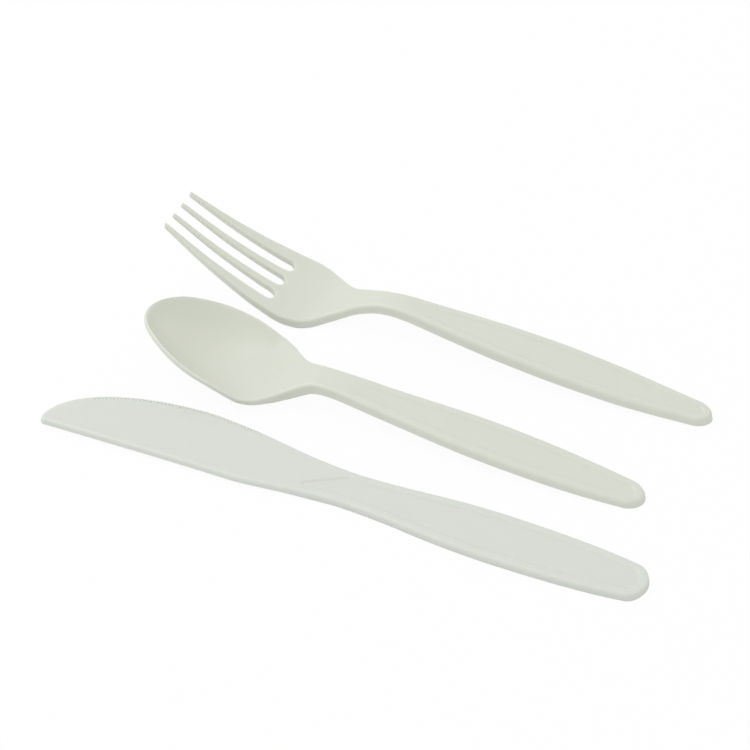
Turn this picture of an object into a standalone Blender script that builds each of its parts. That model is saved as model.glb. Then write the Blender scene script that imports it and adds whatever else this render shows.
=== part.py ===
"""A set of disposable cutlery: a fork, a spoon and a knife, each one moulding, laid side by side.

Each piece is drawn flat as an outline, then lifted: a side profile along its length gives the
height of its upper and under face, the wall between them follows the outline, and the wall's
top edge is rounded over into the raised rim of the handle.

Every length along a piece is measured from the end of its handle. Metres, +Z up.
"""
import math

import bpy
import numpy as np
from mathutils.geometry import delaunay_2d_cdt

# Section that all three handles share
RIM_SLOPE = 0.0006          # run of the panel's edge, seen from above
PANEL_DEPTH = 0.00045       # upper panel below the rim
CHANNEL_DEPTH = 0.0006      # under face sunk inside its rim
WALL_DRAFT = 0.00018        # lean of the wall that lets the piece leave its mould
FOOT_ROUND = 0.0003         # lower edge of the wall, across
FOOT_RISE = 0.00015         # and up
PANEL_FADE = 0.009          # stretch over which a panel runs out towards the neck
NECK_BLEND = 0.004          # start of the change to the head's finer edge, before the neck

# A bend gives a stretch between two main sizes its shape: the share of the stretch's length,
# and the share of the change that is reached there.

# Fork
FORK_GRIP_AT = 0.045        # handle end to its widest place
FORK_GRIP_TO_NECK = 0.052
FORK_NECK_TO_HEAD = 0.0285
FORK_HEAD_TO_TIPS = 0.0384
FORK_NECK_TO_LOW = 0.0214   # neck to the place that rests on the table
FORK_CREST_TO_NECK = 0.004  # highest place of the handle, before the neck
FORK_THICK_TO_NECK = 0.010  # thickest place, before the neck
FORK_END_WIDTH = 0.0074
FORK_GRIP_WIDTH = 0.01404
FORK_NECK_WIDTH = 0.0076
FORK_HEAD_WIDTH = 0.0271
FORK_TIP_SPAN = 0.0168      # outer side of one outer tine to the other, at the tips
FORK_END_ROUND = 0.0045     # length of the rounded handle end
FORK_RIM_WIDTH = 0.0023     # wall to the sunk panel
FORK_NECK_RISE = 0.0070     # under face above the table
FORK_TIP_RISE = 0.0196
FORK_END_THICKNESS = 0.0025
FORK_NECK_THICKNESS = 0.0032
FORK_HEAD_THICKNESS = 0.0027
FORK_ROOT_THICKNESS = 0.0021
FORK_TIP_THICKNESS = 0.0016
FORK_DISH = 0.0004          # middle of the head below its sides
FORK_SHOULDER_RUN = 0.0013  # handle's rounded top edge, across
FORK_SHOULDER_DROP = 0.0011  # and down
FORK_TINE_ROUND = 0.0005    # rounded top edge of a tine
FORK_PANEL_TO_NECK = 0.007  # panel's end short of the neck
SLOT_COUNT = 3
SLOT_LENGTH = 0.0337        # tips to a slot's root
SLOT_ROOT_PITCH = 0.0066
SLOT_TIP_PITCH = 0.0052
SLOT_ROOT_WIDTH = 0.0033
SLOT_TIP_WIDTH = 0.0037
TINE_TIP_BLUNT = 0.62       # length of a tine's rounded tip as a share of its width
FORK_SIDE_BENDS = [
    [(0.20, 0.30), (0.40, 0.60), (0.65, 0.88)],
    [(0.29, 0.13), (0.48, 0.34), (0.67, 0.63), (0.87, 0.91)],
    [(0.20, 0.045), (0.38, 0.17), (0.50, 0.34), (0.70, 0.73), (0.85, 0.93)],
    [(0.17, 0.10), (0.44, 0.38), (0.75, 0.72)]]
FORK_RISE_BENDS = [
    [(0.20, 0.155), (0.50, 0.49), (0.85, 0.86)],
    [(0.20, 0.07), (0.44, 0.33), (0.72, 0.78)],
    [(0.10, 0.035), (0.33, 0.20), (0.66, 0.54)]]

# Spoon
SPOON_GRIP_AT = 0.042
SPOON_GRIP_TO_NECK = 0.050
SPOON_NECK_TO_BOWL = 0.030
SPOON_BOWL_TO_TIP = 0.0268
SPOON_NECK_TO_SKIRT = 0.007  # neck to the wall's deepest place
SPOON_NECK_TO_HEEL = 0.018  # neck to the brim's lowest place
SPOON_END_WIDTH = 0.0082
SPOON_GRIP_WIDTH = 0.01414
SPOON_NECK_WIDTH = 0.0088
SPOON_BOWL_WIDTH = 0.0304
SPOON_TIP_WIDTH = 0.0258    # width that the rounded tip closes
SPOON_END_ROUND = 0.0045
SPOON_TIP_ROUND = 0.0220
SPOON_RIM_WIDTH = 0.0025
SPOON_NECK_RISE = 0.0055
SPOON_HEEL_HEIGHT = 0.0038  # bowl's brim at its lowest
SPOON_BRIM_HEIGHT = 0.0073  # bowl's brim at its widest place
SPOON_TIP_HEIGHT = 0.0135
SPOON_END_THICKNESS = 0.0022
SPOON_GRIP_THICKNESS = 0.0026
SPOON_NECK_THICKNESS = 0.0032
SPOON_SKIRT = 0.0039        # wall where the neck runs into the bowl
SPOON_HEEL_THICKNESS = 0.0015
SPOON_BOWL_THICKNESS = 0.0013
SPOON_BRIM_THICKNESS = 0.0010
SPOON_BRIM_WIDTH = 0.0008   # flat top of the brim
SPOON_SHOULDER_RUN = 0.0013
SPOON_SHOULDER_DROP = 0.0009
SPOON_BRIM_ROUND = 0.0006
SPOON_PANEL_TO_NECK = 0.005
SPOON_BOWL_FULLNESS = 2.2   # power of the bowl's section: 2 is a parabola, more is flatter
SPOON_SIDE_BENDS = [
    [(0.20, 0.37), (0.40, 0.65), (0.70, 0.92)],
    [(0.16, 0.05), (0.36, 0.25), (0.56, 0.51), (0.78, 0.78)],
    [(0.10, 0.01), (0.20, 0.075), (0.33, 0.25), (0.47, 0.55), (0.60, 0.81), (0.75, 0.95)],
    [(0.20, 0.14), (0.50, 0.52), (0.75, 0.82)]]
SPOON_BRIM_BENDS = [
    [(0.20, 0.18), (0.50, 0.50), (0.80, 0.80)],
    [(0.16, 0.02), (0.33, 0.21), (0.56, 0.60), (0.78, 0.89)],
    [(0.33, 0.13), (0.58, 0.45)],
    [(0.22, 0.27), (0.52, 0.63), (0.78, 0.91)]]
SPOON_FLOOR_BENDS = [
    [(0.20, 0.10), (0.40, 0.52), (0.62, 0.86), (0.80, 0.965)],
    [(0.22, 0.045), (0.48, 0.22), (0.74, 0.52), (0.90, 0.77)]]

# Knife
KNIFE_GRIP_AT = 0.042
KNIFE_GRIP_TO_NECK = 0.0415
KNIFE_NECK_TO_BELLY = 0.0435
KNIFE_BELLY_TO_TIP = 0.0448
KNIFE_END_WIDTH = 0.0108
KNIFE_GRIP_WIDTH = 0.0169
KNIFE_NECK_WIDTH = 0.0120
KNIFE_BELLY_OUT = 0.0105    # cutting edge from the handle's middle line
KNIFE_BELLY_POWER = 0.9     # sweep of the edge to the tip: 1 is an ellipse, less is fuller
KNIFE_SPINE_AT_BELLY = 0.0095
KNIFE_SPINE_AT_TIP = 0.0111
KNIFE_END_ROUND = 0.0042
KNIFE_NOSE_ROUND = 0.0016
KNIFE_RIM_WIDTH = 0.0023
KNIFE_FOOT = 0.0004         # handle's under face inside its wall, across
KNIFE_FOOT_RISE = 0.0007    # and up
KNIFE_THICKNESS = 0.0025
KNIFE_SPINE_THICKNESS = 0.0017
KNIFE_WEB_THICKNESS = 0.0012
KNIFE_EDGE_THICKNESS = 0.0003
KNIFE_RIB_TOP = 0.0013      # flat top of the rib along the spine
KNIFE_RIB_WIDTH = 0.0026    # its foot
KNIFE_RIB_RISE = 0.0002     # rib's top above the blade
KNIFE_SHOULDER_RUN = 0.0010
KNIFE_SHOULDER_DROP = 0.0009
KNIFE_BEVEL = 0.0010        # underside of the cutting edge, sloped up to it
KNIFE_EDGE_ROUND = 0.0002   # its upper edge
KNIFE_PANEL_FAR_END = 0.0855
KNIFE_PANEL_NEAR_END = 0.1005
KNIFE_PANEL_CORNER = 0.0012
TOOTH_PITCH = 0.00105
TOOTH_DEPTH = 0.00038
TEETH_FROM_NECK = 0.0295    # neck to the first tooth
TEETH_TO_TIP = 0.0095       # last tooth to the tip
KNIFE_HANDLE_BENDS = [
    [(0.20, 0.43), (0.40, 0.71), (0.70, 0.93)],
    [(0.20, 0.09), (0.45, 0.38), (0.70, 0.78)]]
KNIFE_EDGE_BENDS = [[(0.26, 0.14), (0.50, 0.44), (0.75, 0.79)]]
KNIFE_SPINE_BENDS = [[(0.26, 0.26), (0.50, 0.66), (0.68, 0.92)], [(0.50, 0.45)]]

# Places on the table
HEAD_TO_BOWL_GAP = 0.0079  # fork's head to spoon's bowl, across, at their widest
BOWL_TO_BLADE_GAP = 0.0035  # spoon's bowl to knife's edge, across, at their widest
FORK_END_BACK = 0.0046      # handle end short of the knife's
SPOON_END_BACK = 0.0111
SPOON_TURN = math.radians(0.75)

# Finish: red, green and blue from 0 to 255
WARM_WHITE = (216, 219, 208)
COOL_WHITE = (218, 222, 214)
MATT = 0.5

# Spacing of the mesh
COARSE = 0.0040             # along the handles
FINE = 0.0016               # along the necks, the heads and the tines
FINE_BEFORE_NECK = 0.010    # where the fine spacing begins
BOWL_GRID = 0.0021
HEAD_GRID = 0.0026
BLADE_GRID = 0.0052
GRID_CLEARANCE = 0.55       # grid points from any line, as a share of the grid's spacing
ARC_STEPS = 7               # in a quarter of a rounded end
BOWL_TIP_STEPS = 15         # in half of the bowl's rounded tip
BELLY_STEPS = 40            # along the knife's sweep to its tip
NOSE_STEPS = 4              # round the knife's nose
EDGE_STEPS = 3              # over a rounded edge
TIP_STEPS = 6               # round a tine's tip
ROOT_STEPS = 8              # round a slot's root
CORNER_STEPS = 6            # round a corner of the knife's panel
SMOOTH_UP_TO = math.radians(50)

MILLI = 1000.0              # the flat filling is worked out in millimetres


def smooth_curve(points):
    """A curve through (along, value) points that has no hump between them."""
    along, value = np.array(points, dtype=float).T
    step = np.diff(along)
    slope = np.diff(value) / step
    tangent = np.zeros(len(along))
    tangent[0] = slope[0]
    tangent[-1] = slope[-1]
    for i in range(1, len(along) - 1):
        if slope[i - 1] * slope[i] > 0:
            left = 2 * step[i] + step[i - 1]
            right = step[i] + 2 * step[i - 1]
            tangent[i] = (left + right) / (left / slope[i - 1] + right / slope[i])

    def value_at(place):
        place = np.clip(place, along[0], along[-1])
        i = np.clip(np.searchsorted(along, place, side="right") - 1, 0, len(step) - 1)
        t = (place - along[i]) / step[i]
        blend = t * t * (3 - 2 * t)
        bow = tangent[i] * t * (1 - t) ** 2 - tangent[i + 1] * t * t * (1 - t)
        return value[i] * (1 - blend) + value[i + 1] * blend + bow * step[i]

    return value_at


def with_bends(marks, bends):
    """Main (along, value) marks, with the in-between bends that give each stretch its shape.

    A bend is a share of its stretch's length and the share of the change reached there.
    """
    points = [marks[0]]
    for (start, first), (end, last), stretch in zip(marks, marks[1:], bends):
        points += [(start + u * (end - start), first + v * (last - first)) for u, v in stretch]
        points.append((end, last))
    return points


def ramp(value, start, end):
    """0 before start, 1 after end, and an even climb between."""
    return np.clip((value - start) / (end - start), 0.0, 1.0)


def soft_ramp(value, start, end):
    """As ramp, with a soft start and end."""
    t = ramp(value, start, end)
    return t * t * (3 - 2 * t)


def spaced(start, end, spacing):
    """Places from start to end at an even spacing, the end left out."""
    count = math.ceil(abs(end - start) / spacing - 1e-6)
    return list(np.linspace(start, end, count, endpoint=False))


def stations(start, fine_from, end):
    """Places along a piece: coarse along the handle, fine from the neck on."""
    return spaced(start, fine_from, COARSE) + spaced(fine_from, end, FINE)


def rounded_end(start, length):
    """Places and shares of the half width that round off an end, from its middle outwards."""
    angles = np.linspace(0, math.pi / 2, ARC_STEPS, endpoint=False)
    return [(start + length * (1 - math.cos(a)), math.sin(a)) for a in angles]


def rounded_side(half_width, start, start_round, end, end_round, fine_from, end_steps=ARC_STEPS):
    """One side of an outline, from its middle at start to its middle at end.

    Both ends close in a quarter of an ellipse that meets the side without a corner.
    """
    side = rounded_end(start, start_round)
    side += [(x, 1.0) for x in stations(start + start_round, fine_from, end - end_round)]
    angles = np.linspace(math.pi / 2, 0, end_steps + 1)
    side += [(end - end_round * (1 - math.cos(a)), math.sin(a)) for a in angles]
    return [(x, share * float(half_width(x))) for x, share in side]


def mirrored(side):
    """A closed outline from one side whose first and last points lie on the middle line."""
    return np.array(side + [(x, -y) for x, y in side[-2:0:-1]])


def twice_area(outline):
    """Twice the area inside the outline: positive where it runs counter-clockwise."""
    x, y = outline.T
    return np.sum(x * np.roll(y, -1) - y * np.roll(x, -1))


def counter_clockwise(outline):
    """The same outline, turned so that it runs counter-clockwise."""
    return outline if twice_area(outline) > 0 else outline[::-1]


def inward(outline):
    """Unit vectors across the outline, pointing into the piece."""
    run = np.roll(outline, -1, axis=0) - np.roll(outline, 1, axis=0)
    run /= np.linalg.norm(run, axis=1)[:, None]
    across = np.column_stack([-run[:, 1], run[:, 0]])
    return across if twice_area(outline) > 0 else -across


def depth_inside(points, outline):
    """Distance of each point from the outline: positive inside it, negative outside."""
    start = outline[None, :, :]
    run = (np.roll(outline, -1, axis=0) - outline)[None, :, :]
    to_point = points[:, None, :] - start
    length = np.sum(run * run, axis=2)
    t = np.clip(np.sum(to_point * run, axis=2) / length, 0, 1)
    distance = np.linalg.norm(to_point - run * t[:, :, None], axis=2).min(axis=1)
    end = start + run
    spans = (start[:, :, 1] > points[:, None, 1]) != (end[:, :, 1] > points[:, None, 1])
    rise = np.where(run[:, :, 1] == 0, 1.0, run[:, :, 1])
    crossing = start[:, :, 0] + run[:, :, 0] * (points[:, None, 1] - start[:, :, 1]) / rise
    inside = np.sum(spans & (points[:, None, 0] < crossing), axis=1) % 2 == 1
    return np.where(inside, distance, -distance)


def grid_inside(outline, creases, spacing, start, end):
    """Staggered grid points well inside the outline and clear of its creases."""
    low = outline[:, 1].min()
    high = outline[:, 1].max()
    rows = np.arange(low, high, spacing * math.sqrt(3) / 2)
    points = np.array([(x + (i % 2) * spacing / 2, y) for i, y in enumerate(rows)
                       for x in np.arange(start, end, spacing)])
    keep = depth_inside(points, outline) > spacing * GRID_CLEARANCE
    for crease in creases:
        keep &= np.abs(depth_inside(points, crease)) > spacing * GRID_CLEARANCE
    return points[keep]


def filled(outline, creases, seeds):
    """Points and triangles that fill the outline; the outline's own points come first."""
    loops = [outline] + creases
    edges = []
    first = 0
    for loop in loops:
        edges += [(first + i, first + (i + 1) % len(loop)) for i in range(len(loop))]
        first += len(loop)
    points = np.vstack(loops + [seeds])
    flat = [tuple(p) for p in points * MILLI]
    face = list(range(len(outline)))
    result = delaunay_2d_cdt(flat, edges, [face], 1, 1e-4)
    source = [origin[0] for origin in result[3]]
    return points, [tuple(source[i] for i in triangle) for triangle in result[2]]


def edge_rings(outline, run, drop, foot, lift, upper, under, notch):
    """Loops from the under face, up the wall and over its rounded top edge.

    A notch cuts the wall back, and its cut narrows to nothing at the top edge's inner line.
    """
    into = inward(outline)
    crest_height = upper(outline + into * run[:, None])
    base = outline + into * foot[:, None]
    base_height = under(base)
    cut = outline + into * notch[:, None]
    rings = [np.column_stack([base, base_height]),
             np.column_stack([cut, base_height + lift])]
    draft = np.minimum(WALL_DRAFT, run / 2) * (notch == 0)
    for k in range(EDGE_STEPS + 1):
        angle = math.pi / 2 * k / EDGE_STEPS
        share = 1 - math.cos(angle)
        offset = np.maximum(draft + (run - draft) * share, notch + (run - notch) * share)
        height = crest_height - drop * (1 - math.sin(angle))
        rings.append(np.column_stack([outline + into * offset[:, None], height]))
    return rings


def ring_faces(rings):
    """Quads that join each ring to the next."""
    count = len(rings[0])
    faces = []
    for k in range(len(rings) - 1):
        for i in range(count):
            j = (i + 1) % count
            faces.append((k * count + i, k * count + j, (k + 1) * count + j, (k + 1) * count + i))
    return faces


def moulding(name, rings, upper, under, creases, seeds, finish):
    """Closes the rings with an upper and an under face, as one solid."""
    count = len(rings[0])
    vertices = [tuple(p) for ring in rings for p in ring]
    faces = ring_faces(rings)
    for ring, first, surface, flip in (
            (rings[-1], (len(rings) - 1) * count, upper, False), (rings[0], 0, under, True)):
        points, triangles = filled(ring[:, :2], creases, seeds)
        extra = points[count:]
        start = len(vertices)
        vertices += [tuple(p) for p in np.column_stack([extra, surface(extra)])]
        for triangle in triangles:
            corner = [first + i if i < count else start + i - count for i in triangle]
            faces.append(tuple(corner[::-1]) if flip else tuple(corner))
    mesh = bpy.data.meshes.new(name)
    mesh.from_pydata([(-x, y, z) for x, y, z in vertices], [], [f[::-1] for f in faces])
    mesh.shade_smooth()
    mesh.set_sharp_from_angle(angle=SMOOTH_UP_TO)
    mesh.materials.append(finish)
    piece = bpy.data.objects.new(name, mesh)
    bpy.context.collection.objects.link(piece)
    return piece


def panel_edge(half_width, start_round, rim, end):
    """Upper edge of the panel sunk into a handle, inside a rim."""
    first_round = max(start_round - rim, rim)
    last_round = PANEL_FADE / 2
    side = rounded_side(lambda x: half_width(x) - rim,
                        rim, first_round, end, last_round, end - last_round)
    return counter_clockwise(mirrored(side))


def panel_creases(edge):
    """The panel's upper edge, and its floor's edge at the foot of the slope."""
    return [edge, edge + inward(edge) * RIM_SLOPE]


def panel_drop(points, edge, depth):
    """How far each point lies below the rim."""
    return depth * ramp(depth_inside(points, edge), 0.0, RIM_SLOPE)


def fading_panel_drop(points, edge, depth, end):
    """As panel_drop, for a panel that runs out towards the neck."""
    fade = 1 - ramp(points[:, 0], end - PANEL_FADE, end)
    return fade * panel_drop(points, edge, depth)


def plastic(name, colour):
    """Matt moulded plastic of one colour."""
    finish = bpy.data.materials.new(name)
    finish.use_nodes = True
    shader = finish.node_tree.nodes["Principled BSDF"]
    linear = [((v / 255 + 0.055) / 1.055) ** 2.4 for v in colour]
    shader.inputs["Base Color"].default_value = (*linear, 1.0)
    shader.inputs["Roughness"].default_value = MATT
    shader.inputs["Metallic"].default_value = 0.0
    finish.diffuse_color = (*linear, 1.0)
    return finish


def fork_half_width(neck, head, length):
    """Half of the fork's width along its length."""
    return smooth_curve(with_bends(
        [(0.0, FORK_END_WIDTH / 2), (FORK_GRIP_AT, FORK_GRIP_WIDTH / 2),
         (neck, FORK_NECK_WIDTH / 2), (head, FORK_HEAD_WIDTH / 2), (length, FORK_TIP_SPAN / 2)],
        FORK_SIDE_BENDS))


def slot_side(index, x, way, root, length):
    """Middle (way 0) or one side (way -1 or 1) of a slot at a place along it."""
    pitch = np.interp(x, (root, length), (SLOT_ROOT_PITCH, SLOT_TIP_PITCH))
    width = np.interp(x, (root, length), (SLOT_ROOT_WIDTH, SLOT_TIP_WIDTH))
    return float((index - (SLOT_COUNT - 1) / 2) * pitch + way * width / 2)


def half_turn(end, reach, outer, inner, steps):
    """Half of an ellipse from the outer side over the end to the inner side.

    Its reach is negative where the end faces the handle.
    """
    middle = (outer + inner) / 2
    half = (outer - inner) / 2
    turn = [math.pi * k / steps for k in range(steps + 1)]
    return [(end - reach * (1 - math.sin(a)), middle + half * math.cos(a)) for a in turn]


def fork_outline(half_width, length, neck):
    """The fork seen from above: handle, shoulders, and tines parted by tapering slots."""
    root = length - SLOT_LENGTH
    first_inner = slot_side(SLOT_COUNT - 1, length, 1, root, length)
    tip_round = TINE_TIP_BLUNT * (float(half_width(length)) - first_inner)
    shoulder = length - tip_round
    root_round = SLOT_ROOT_WIDTH / 2
    along_slot = spaced(shoulder, root + root_round, FINE)[1:]

    side = rounded_end(0.0, FORK_END_ROUND)
    side += [(x, 1.0) for x in stations(FORK_END_ROUND, neck - FINE_BEFORE_NECK, shoulder)]
    side = [(x, share * float(half_width(x))) for x, share in side]
    outer = float(half_width(shoulder))
    for index in range(SLOT_COUNT - 1, SLOT_COUNT // 2 - 1, -1):
        inner = slot_side(index, shoulder, 1, root, length)
        side += half_turn(length, tip_round, outer, inner, TIP_STEPS)
        side += [(x, slot_side(index, x, 1, root, length)) for x in along_slot]
        middle = slot_side(index, root, 0, root, length)
        arc = half_turn(root, -root_round, middle + root_round, middle - root_round, ROOT_STEPS)
        if index > SLOT_COUNT // 2:
            side += arc + [(x, slot_side(index, x, -1, root, length)) for x in along_slot[::-1]]
            outer = slot_side(index, shoulder, -1, root, length)
        else:
            side += arc[:ROOT_STEPS // 2 + 1]
    return counter_clockwise(mirrored(side))


def fork_profile(neck, length):
    """Height of the fork's under face along its length, and its thickness."""
    low = neck + FORK_NECK_TO_LOW
    rise = smooth_curve(with_bends(
        [(0.0, 0.0), (neck - FORK_CREST_TO_NECK, FORK_NECK_RISE), (low, 0.0),
         (length, FORK_TIP_RISE)], FORK_RISE_BENDS))
    thickness = smooth_curve([
        (0.0, FORK_END_THICKNESS), (neck - FORK_THICK_TO_NECK, FORK_NECK_THICKNESS),
        (low, FORK_HEAD_THICKNESS), (length - SLOT_LENGTH, FORK_ROOT_THICKNESS),
        (length, FORK_TIP_THICKNESS)])
    return rise, thickness


def make_fork(finish):
    """Four-tined fork, bent down behind the head and up towards the tips."""
    neck = FORK_GRIP_AT + FORK_GRIP_TO_NECK
    head = neck + FORK_NECK_TO_HEAD
    length = head + FORK_HEAD_TO_TIPS
    half_width = fork_half_width(neck, head, length)
    rise, thickness = fork_profile(neck, length)
    outline = fork_outline(half_width, length, neck)
    panel_end = neck - FORK_PANEL_TO_NECK
    edge = panel_edge(half_width, FORK_END_ROUND, FORK_RIM_WIDTH, panel_end)

    def dish(points):
        x, y = points.T
        sides = np.clip(np.abs(y) / half_width(x), 0, 1)
        return FORK_DISH * soft_ramp(x, neck, head) * (1 - sides ** 2)

    def upper(points):
        x = points[:, 0]
        sunk = fading_panel_drop(points, edge, PANEL_DEPTH, panel_end)
        return rise(x) + thickness(x) - dish(points) - sunk

    def under(points):
        return rise(points[:, 0]) + fading_panel_drop(points, edge, CHANNEL_DEPTH, panel_end)

    to_tines = soft_ramp(outline[:, 0], neck - NECK_BLEND, length - SLOT_LENGTH / 2)
    run = FORK_SHOULDER_RUN + (FORK_TINE_ROUND - FORK_SHOULDER_RUN) * to_tines
    drop = FORK_SHOULDER_DROP + (FORK_TINE_ROUND - FORK_SHOULDER_DROP) * to_tines
    foot = np.minimum(run, FOOT_ROUND)
    rings = edge_rings(outline, run, drop, foot, FOOT_RISE, upper, under, 0 * run)
    seeds = grid_inside(outline, [edge], HEAD_GRID, panel_end, length - SLOT_LENGTH / 2)
    return moulding("fork", rings, upper, under, panel_creases(edge), seeds, finish)


def spoon_half_width(neck, bowl, length):
    """Half of the spoon's width along its length, before its tip is rounded."""
    return smooth_curve(with_bends(
        [(0.0, SPOON_END_WIDTH / 2), (SPOON_GRIP_AT, SPOON_GRIP_WIDTH / 2),
         (neck, SPOON_NECK_WIDTH / 2), (bowl, SPOON_BOWL_WIDTH / 2),
         (length, SPOON_TIP_WIDTH / 2)], SPOON_SIDE_BENDS))


def spoon_heights(neck, heel, bowl, length):
    """Heights along the spoon of its brim, and of its upper face on the middle line."""
    neck_height = SPOON_NECK_RISE + SPOON_NECK_THICKNESS
    brim = smooth_curve(with_bends(
        [(0.0, SPOON_END_THICKNESS), (neck, neck_height), (heel, SPOON_HEEL_HEIGHT),
         (bowl, SPOON_BRIM_HEIGHT), (length, SPOON_TIP_HEIGHT)], SPOON_BRIM_BENDS))
    floor = smooth_curve(with_bends(
        [(neck, neck_height), (bowl, SPOON_BOWL_THICKNESS),
         (length - SPOON_BRIM_WIDTH, SPOON_TIP_HEIGHT)], SPOON_FLOOR_BENDS))
    return brim, floor


def spoon_thickness(neck, heel, bowl, length):
    """Thickness along the spoon at its sides, and on its middle line."""
    skirt = neck + SPOON_NECK_TO_SKIRT
    start = [(0.0, SPOON_END_THICKNESS), (SPOON_GRIP_AT, SPOON_GRIP_THICKNESS),
             (neck, SPOON_NECK_THICKNESS)]
    sides = smooth_curve(start + [
        (skirt, SPOON_SKIRT), (heel, SPOON_HEEL_THICKNESS), (bowl, SPOON_BRIM_THICKNESS),
        (length, SPOON_BRIM_THICKNESS)])
    middle = smooth_curve(start + [
        (heel, SPOON_BOWL_THICKNESS), (bowl, SPOON_BOWL_THICKNESS),
        (length, SPOON_BRIM_THICKNESS)])
    return sides, middle


def make_spoon(finish):
    """Spoon with an egg-shaped bowl whose brim climbs towards the tip."""
    neck = SPOON_GRIP_AT + SPOON_GRIP_TO_NECK
    heel = neck + SPOON_NECK_TO_HEEL
    bowl = neck + SPOON_NECK_TO_BOWL
    length = bowl + SPOON_BOWL_TO_TIP
    half_width = spoon_half_width(neck, bowl, length)
    brim, floor = spoon_heights(neck, heel, bowl, length)
    sides, middle = spoon_thickness(neck, heel, bowl, length)
    outline = counter_clockwise(mirrored(rounded_side(
        half_width, 0.0, SPOON_END_ROUND, length, SPOON_TIP_ROUND, neck - FINE_BEFORE_NECK,
        BOWL_TIP_STEPS)))
    panel_end = neck - SPOON_PANEL_TO_NECK
    edge = panel_edge(half_width, SPOON_END_ROUND, SPOON_RIM_WIDTH, panel_end)

    def hollow(points, rim, depth):
        """Depth of the bowl below its brim: none at the rim line, full along the middle line."""
        x = points[:, 0]
        close = np.clip((length - rim - x) / SPOON_TIP_ROUND, 0, 1)
        across = np.maximum(half_width(x) - rim, 1e-6) * np.sqrt(close * (2 - close)) + 1e-9
        share = np.clip(np.abs(points[:, 1]) / across, 0, 1)
        return depth(x) * (1 - share ** SPOON_BOWL_FULLNESS)

    def depth_above(x):
        return np.maximum(brim(x) - floor(x), 0.0)

    def depth_below(x):
        return depth_above(x) + middle(x) - sides(x)

    def upper(points):
        dish = hollow(points, SPOON_BRIM_WIDTH, depth_above)
        return brim(points[:, 0]) - dish - fading_panel_drop(points, edge, PANEL_DEPTH, panel_end)

    def under(points):
        x = points[:, 0]
        sunk = fading_panel_drop(points, edge, CHANNEL_DEPTH, panel_end)
        return brim(x) - sides(x) - hollow(points, 0.0, depth_below) + sunk

    to_bowl = soft_ramp(outline[:, 0], neck - NECK_BLEND, bowl)
    run = SPOON_SHOULDER_RUN + (SPOON_BRIM_ROUND - SPOON_SHOULDER_RUN) * to_bowl
    drop = SPOON_SHOULDER_DROP + (SPOON_BRIM_ROUND - SPOON_SHOULDER_DROP) * to_bowl
    foot = np.minimum(run, FOOT_ROUND)
    rings = edge_rings(outline, run, drop, foot, FOOT_RISE, upper, under, 0 * run)
    mouth = outline + inward(outline) * SPOON_BRIM_WIDTH
    seeds = grid_inside(mouth, [edge], BOWL_GRID, panel_end, length)
    seeds = np.vstack([seeds, mouth[outline[:, 0] > heel]])
    return moulding("spoon", rings, upper, under, panel_creases(edge), seeds, finish)


def knife_sides(neck, belly, length):
    """How far the knife's cutting side and its spine stand from its middle line."""
    handle = [(0.0, KNIFE_END_WIDTH / 2), (KNIFE_GRIP_AT, KNIFE_GRIP_WIDTH / 2),
              (neck, KNIFE_NECK_WIDTH / 2)]
    cutting_side = smooth_curve(with_bends(
        handle + [(belly, KNIFE_BELLY_OUT)], KNIFE_HANDLE_BENDS + KNIFE_EDGE_BENDS))
    spine_side = smooth_curve(with_bends(
        handle + [(belly, KNIFE_SPINE_AT_BELLY), (length, KNIFE_SPINE_AT_TIP)],
        KNIFE_HANDLE_BENDS + KNIFE_SPINE_BENDS))
    return cutting_side, spine_side


def knife_outline(neck, belly, length, cutting_side, spine_side):
    """The knife seen from above, before its teeth are cut."""
    nose = KNIFE_NOSE_ROUND
    sweep = KNIFE_BELLY_OUT + KNIFE_SPINE_AT_TIP
    end = rounded_end(0.0, KNIFE_END_ROUND)
    cutting = [(x, share * float(cutting_side(x))) for x, share in end]
    cutting += [(x, float(cutting_side(x))) for x in stations(KNIFE_END_ROUND, neck, belly)]
    turn = [math.pi / 2 * k / BELLY_STEPS for k in range(BELLY_STEPS + 1)]
    arc = [(belly + KNIFE_BELLY_TO_TIP * math.sin(a),
            sweep * math.cos(a) ** KNIFE_BELLY_POWER - KNIFE_SPINE_AT_TIP) for a in turn]
    cutting += [p for p in arc if p[1] > nose - KNIFE_SPINE_AT_TIP + FINE / 3]
    corner = [(length - nose * (1 - math.cos(a)), nose * (1 - math.sin(a)) - KNIFE_SPINE_AT_TIP)
              for a in np.linspace(0, math.pi / 2, NOSE_STEPS + 1)]
    spine = [(x, -share * float(spine_side(x))) for x, share in end[1:]]
    spine += [(x, -float(spine_side(x))) for x in stations(KNIFE_END_ROUND, neck, length - nose)]
    return np.array(cutting + corner + spine[::-1])


def with_teeth(outline, start, end):
    """Adds evenly pitched points on the cutting side, and how deep each is notched."""
    x, y = outline.T
    tip = int(np.argmax(x)) + 1
    runs = np.hypot(np.diff(x[:tip]), np.diff(y[:tip]))
    along = np.concatenate([[0.0], np.cumsum(runs)])
    first = float(np.interp(start, x[:tip], along))
    last = float(np.interp(end, x[:tip], along))
    teeth = max(2, int((last - first) / TOOTH_PITCH))
    places = np.linspace(first, last, 2 * teeth + 1)
    before = along[along < first - TOOTH_PITCH / 2]
    after = along[along > last + TOOTH_PITCH / 2]
    kept = np.concatenate([before, places, after])
    side = np.column_stack([np.interp(kept, along, x[:tip]), np.interp(kept, along, y[:tip])])
    notch = np.zeros(len(side) + len(outline) - tip)
    notch[len(before):len(before) + len(places)] = TOOTH_DEPTH * (np.arange(len(places)) % 2)
    return np.vstack([side, outline[tip:]]), notch


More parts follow.
